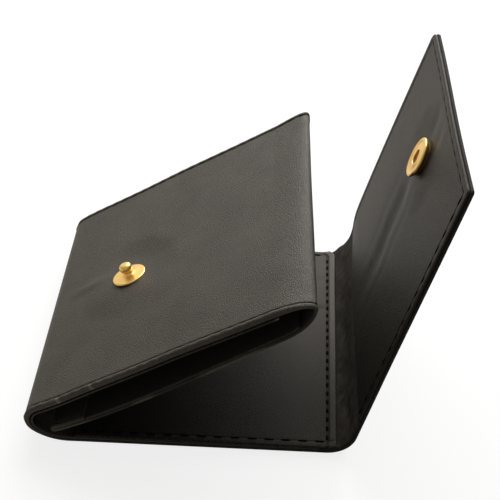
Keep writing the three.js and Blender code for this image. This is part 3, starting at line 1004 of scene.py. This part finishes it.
# Painted shade: the lining in the pouch is darkened all over except for a thin rim at its edges.
darken(pouch_lining_sheet, 0.92 * ease(pouch_lining_sheet["rim"], 0.2, 0.6))
pouch_lining = sheet_piece("pouch_lining_leather", pouch_lining_sheet, inner_leather)
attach(pouch_lining, "pouch")
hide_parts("pouch_lining")

# The front's seams: finer black thread along both ends of the spine and the front. It holds the turned-in
# edges and the lining, and pinches the rim outside it.
fine_radius = 0.26
seam_length = 3.6
front_seam_start = 14.0
front_lengths = spread(front_walk[-1] - front_seam_start, seam_pitch, 1.0) + front_seam_start
front_rows = edge_rows(front_line, front_lengths, fold_half, front_inset)
front_rows[0] = settle_front(front_rows[0])
front_stitches = stitches("front_stitches", *front_rows, length=seam_length, radius=fine_radius)
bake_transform(front_stitches)

# The nose's seams: the same thread goes on from the front's seams over the nose, and stops where the
# strip turns under as the pouch.
nose_lengths = np.arange(2.2, 24.0, seam_pitch)
nose_rows = edge_rows(near_line, nose_lengths, fold_half, front_inset)
far_rows = edge_rows(far_line, nose_lengths, fold_half, front_inset)
nose_rows[0] = settle_front(across_nose(nose_rows[0], far_rows[0]))
nose_stitches = stitches("nose_stitches", *nose_rows, length=seam_length, radius=fine_radius)
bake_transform(nose_stitches)

# The flap: the first stretch of the same strip of black calf, which stands up from the crease. It is cut
# a little narrower at its free edge, with a sharp corner at one end and a rounder one at the other.
near_corner = 1.2
far_corner = 3.4
far_bow, bow_starts = 0.7, 12.0
edge_margin = 4.6
edge_steps = np.array([0, 0.03, 0.08, 0.16, 0.26, 0.4, 0.6, 0.85, 1.15, 1.45, 1.75, 2.0, 2.25, 2.5, 2.8,
                       3.2, 3.7])


def flap_sides(along, inset):
    """Half the flap's width at a length along it and the middle of that width: the taper, less a quarter
    round of each corner at the free edge, and the bow of the far side, half a sine."""
    def corner_cut(corner):
        left = np.clip(flap_length - inset - along, 0, corner)
        return corner - np.sqrt(corner**2 - (corner - left) ** 2)

    side = fold_half - inset - flap_taper * along / flap_length
    bow = far_bow * np.sin(np.pi * np.clip((along - bow_starts) / (flap_length - bow_starts), 0, 1))
    near, far = side - corner_cut(near_corner), side - corner_cut(far_corner) + bow
    return (near + far) / 2, (far - near) / 2


def flap_layer(steps, inset, out, thickness, **section):
    """One layer of the flap at those steps along it, cut smaller by the inset, sewn round its free edge and
    settled: its line, half its width and its sheet."""
    line = flap_point(steps, out)
    half, middle = flap_sides(steps, inset)
    sheet = leather_sheet(line, half, thickness, top=sewn_face(side_inset), middle=middle,
                          sewn_ends=flap_length - inset - steps, **section)
    sheet["points"] = settle_flap(sheet["points"])
    return line, half, sheet


flap_steps = np.concatenate([flap_length - edge_steps, np.linspace(flap_length - edge_margin, root_seam, 62)])
flap_line, flap_half, flap_sheet = flap_layer(flap_steps, 0.0, -crease_radius, cover_thickness,
                                              ends=flap_length - flap_steps)
black_edges(flap_sheet)
flap_leather = sheet_piece("flap_leather", flap_sheet, outer_leather)
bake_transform(flap_leather)
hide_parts("flap_cover")

# The flap's lining: smooth leather sewn to the flap along both sides and the free edge. Its lower edge is
# cut raw and lies free, just past the suede.
flap_lining_inset = 0.25
raw_edge = 0.5
lining_top = flap_length - flap_lining_inset
lining_steps = np.concatenate([
    np.linspace(flap_lining_start, flap_lining_start + raw_edge, 8)[:-1],
    np.linspace(flap_lining_start + raw_edge, lining_top - edge_margin, 62),
    lining_top - edge_steps[::-1],
])
flap_lining_line, flap_lining_half, flap_lining_sheet = flap_layer(
    lining_steps, flap_lining_inset, -crease_inner, lining_thickness,
    ends=np.minimum(lining_steps - flap_lining_start, lining_top - lining_steps), edge_radius=lining_radius)
black_edges(flap_lining_sheet, dye=0.2)
flap_lining = sheet_piece("flap_lining_leather", flap_lining_sheet, inner_leather)
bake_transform(flap_lining)
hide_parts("flap_lining")

# The flap's seam, inside: black thread in one row up each side and one across the free edge. The near row
# stands proud of the lining, and the others are pulled into it.
flap_margin = 2.4
pulled_in = -0.12


def flap_rows(line, half_width, face, lifts, radii):
    """The near row, the far row and the row across the free edge of a line that ends there, on its left
    face for face 1 and on its right for -1, each row with its own lift and radius."""
    length = walked(line)[-1]
    places = spread(length - side_inset, stitch_pitch, flap_margin)
    rows = edge_rows(line, places, half_width, lift=0.0)
    end_half = half_width[-len(edge_steps) // 2] - side_inset - near_corner
    end_y = np.linspace(-end_half, end_half, int(2 * end_half / stitch_pitch) + 1)
    middle, _, out = line_places(line, np.full(len(end_y), length - side_inset), 0.0)
    middle[:, 1] = end_y
    ends = [middle, np.tile([0.0, 1.0, 0.0], (len(end_y), 1)), out]
    middles, along, normal = (np.concatenate(pair) for pair in zip(rows, ends))
    counts = [len(places), len(places), len(end_y)]
    middles += np.repeat(lifts, counts)[:, None] * face * normal
    return settle_flap(middles), along, face * normal, stitch_length, np.repeat(radii, counts)


flap_inside_stitches = stitches("flap_inside_stitches", *flap_rows(
    flap_lining_line, flap_lining_half, 1, lifts=(0.05, pulled_in, pulled_in),
    radii=(proud_radius, 0.25, 0.3)))
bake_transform(flap_inside_stitches)

# The flap's seam, outside: the same rows where the thread comes out on the outer leather, all of them
# pulled into it.
flap_outside_stitches = stitches("flap_outside_stitches", *flap_rows(
    flap_line[::-1], flap_half[::-1], -1, lifts=[pulled_in] * 3, radii=[thread_radius] * 3))
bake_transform(flap_outside_stitches)

# The stud: turned brass. A dished flange with a rolled lip carries a neck and a rounded barrel head,
# riveted through the front from inside the pouch. The soft leather lets it lean.
disc_seat = 0.05
pole = 0.05


def brass_finish(name, colour, deep, gloss):
    """Polished yellow brass: clean metal with a slight change of tone, fine rubbing marks in its gloss."""
    finish, tree, shader = new_finish(name)
    shader["Metallic"].default_value = 1.0
    place = add_node(tree, "ShaderNodeTexCoord").outputs["Object"]
    clouds = add_node(tree, "ShaderNodeTexNoise", {"Vector": place, "Scale": 420.0, "Detail": 4.0}).outputs[0]
    tree.links.new(mixed(tree, clouds, deep, colour), shader["Base Color"])
    marks = add_node(tree, "ShaderNodeTexNoise", {"Vector": place, "Scale": 2600.0, "Detail": 3.0}).outputs[0]
    tree.links.new(ramp(tree, marks, 0.0, 1.0, gloss - 0.05, gloss + 0.12), shader["Roughness"])
    emboss(tree, clouds, strength=0.12, depth=0.12)
    return finish


polished_brass = brass_finish("polished_brass", colour=(0.98, 0.70, 0.26), deep=(0.92, 0.58, 0.16), gloss=0.3)


def ring_faces(rows, columns):
    """Quads over a grid that closes on itself both ways, as the skin of a turned ring."""
    i, j = np.meshgrid(np.arange(rows), np.arange(columns), indexing="ij")
    k, n = (j + 1) % columns, (i + 1) % rows
    return np.stack([i * columns + j, i * columns + k, n * columns + k, n * columns + j], -1).reshape(-1, 4)


def turned_piece(name, profile, centre, axis, faces_of=closed_faces, sides=72):
    """A profile of radius and height turned about an axis. It ends in small flat discs at its poles, or
    closes on itself with ring_faces."""
    turn = np.linspace(0, 2 * np.pi, sides, endpoint=False)[:, None]
    first = unit(np.cross(axis, [1.0, 0.0, 0.0]))
    circle = spokes(turn, first, np.cross(axis, first))
    points = centre + profile[:, None, :1] * circle + profile[:, None, 1:] * axis
    return new_piece(name, points, faces_of(len(profile), sides), polished_brass, sharp_angle=60.0)


stud_seat = front_point(stud_along, spine_radius + disc_seat)
stud_centre = np.array([stud_seat[0], stud_y, stud_seat[1]])
stud_profile = np.concatenate([
    [(pole, -0.4), (5.35, -0.4)],
    bezier((5.35, -0.4), (5.85, -0.4), (5.95, 0.35), (5.6, 0.54), 8),
    bezier((5.45, 0.56), (4.6, 0.6), (3.4, 0.75), (2.5, 0.85), 9),
    bezier((2.4, 0.87), (1.95, 0.95), (1.72, 1.2), (1.68, 1.6), 7),
    bezier((1.68, 1.85), (1.75, 2.1), (2.15, 2.3), (2.18, 2.8), 8),
    bezier((2.19, 3.1), (2.2, 4.1), (1.7, 4.6), (0.7, 4.64), 10),
    [(pole, 4.65)],
])
stud = turned_piece("stud_brass", stud_profile, stud_centre, stud_axis)
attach(stud, "front")
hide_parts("stud")

# The stud's rivet: a brass disc inside the pouch, with a short post that goes up through the lining and
# the leather into the stud. Setting it dishes its middle.
layers_between = lining_level + 0.1
rivet_profile = np.concatenate([
    [(pole, 0.25), (1.2, 0.25), (1.2, 0.0), (4.2, 0.0)],
    bezier((4.2, 0.0), (4.55, 0.0), (4.55, -0.35), (4.2, -0.42), 7),
    bezier((3.4, -0.46), (2.6, -0.5), (2.0, -0.52), (1.4, -0.5), 5),
    bezier((1.3, -0.48), (1.0, -0.3), (0.8, -0.2), (pole, -0.2), 5),
])
rivet = turned_piece("stud_rivet_brass", rivet_profile, stud_centre - stud_axis * layers_between, stud_axis)
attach(rivet, "front")
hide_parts("stud_rivet")

# The socket: a pressed brass cup on the flap's lining, with a rolled rim, a dished face and a rolled
# mouth over its chamber. The cap on the outside holds it through the flap.
socket_seat = flap_point(socket_along, -crease_inner + disc_seat)
socket_centre = np.array([socket_seat[0], socket_y, socket_seat[1]])
socket_profile = np.concatenate([
    [(1.45, -0.3), (3.6, -0.3)],
    bezier((4.6, -0.3), (5.2, -0.3), (5.4, -0.1), (5.45, 0.2), 7),
    bezier((5.5, 0.45), (5.6, 0.85), (6.15, 0.9), (6.28, 1.2), 8),
    bezier((6.32, 1.4), (6.34, 1.8), (6.3, 2.05), (5.85, 2.13), 8),
    bezier((5.7, 2.15), (5.3, 2.15), (5.2, 1.87), (4.6, 1.85), 8),
    bezier((4.3, 1.85), (3.6, 1.87), (3.2, 2.07), (2.9, 2.11), 8),
    bezier((2.8, 2.13), (2.4, 2.15), (2.2, 2.05), (2.2, 1.85), 8),
    bezier((2.22, 1.79), (2.4, 1.67), (3.4, 1.65), (4.3, 1.63), 6),
    [(4.35, 1.4), (4.35, 0.3), (4.2, 0.12), (1.45, 0.12)],
])
socket = turned_piece("socket_brass", socket_profile, socket_centre, socket_axis, faces_of=ring_faces)
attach(socket, "flap")
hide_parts("snap_socket")

# The socket's spring: a hairpin of brass wire that lies in the socket's chamber. Its two legs part for
# the stud's head and close behind it.
wire_radius = 0.3
wire_gap = 1.55
wire_reach = 2.6
wire_height = 0.66
wire_turn = np.linspace(-np.pi / 2, np.pi / 2, 17)
wire_plan = np.concatenate([
    np.stack([np.linspace(-wire_reach, wire_gap, 9)[:-1], np.full(8, -wire_gap)], -1),
    np.stack([wire_gap + wire_gap * np.cos(wire_turn), wire_gap * np.sin(wire_turn)], -1),
    np.stack([np.linspace(wire_gap, -wire_reach, 9)[1:], np.full(8, wire_gap)], -1),
])
wire_across = unit(np.cross(socket_axis, [flap_along[0], 0.0, flap_along[1]]))
wire_plane = np.stack([np.cross(wire_across, socket_axis), wire_across])
wire_middle = socket_centre + socket_axis * wire_height + wire_plan @ wire_plane
wire_normal = left_of(wire_plan) @ wire_plane
wire_round = np.linspace(0, 2 * np.pi, 12, endpoint=False)[None, :, None]
wire_spokes = spokes(wire_round, wire_normal[:, None, :], socket_axis)
wire_points = wire_middle[:, None, :] + wire_radius * wire_spokes
spring = new_piece("spring_wire", wire_points, closed_faces(*wire_points.shape[:2]), polished_brass)
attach(spring, "flap")
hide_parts("snap_spring")

# The socket's cap: a crowned brass disc on the outside of the flap. Its post goes through the leather and
# the lining and is spread in the socket, which holds both.
cap_profile = np.concatenate([
    [(pole, -2.3), (1.25, -2.3), (1.25, 0.0), (5.6, 0.0)],
    bezier((5.6, 0.0), (6.2, 0.0), (6.4, 0.35), (6.15, 0.7), 8),
    bezier((6.0, 0.85), (5.0, 1.35), (3.0, 1.72), (pole, 1.75), 14),
])
cap = turned_piece("cap_brass", cap_profile, socket_centre - socket_axis * layers_between, -socket_axis)
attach(cap, "flap")
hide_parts("snap_cap")
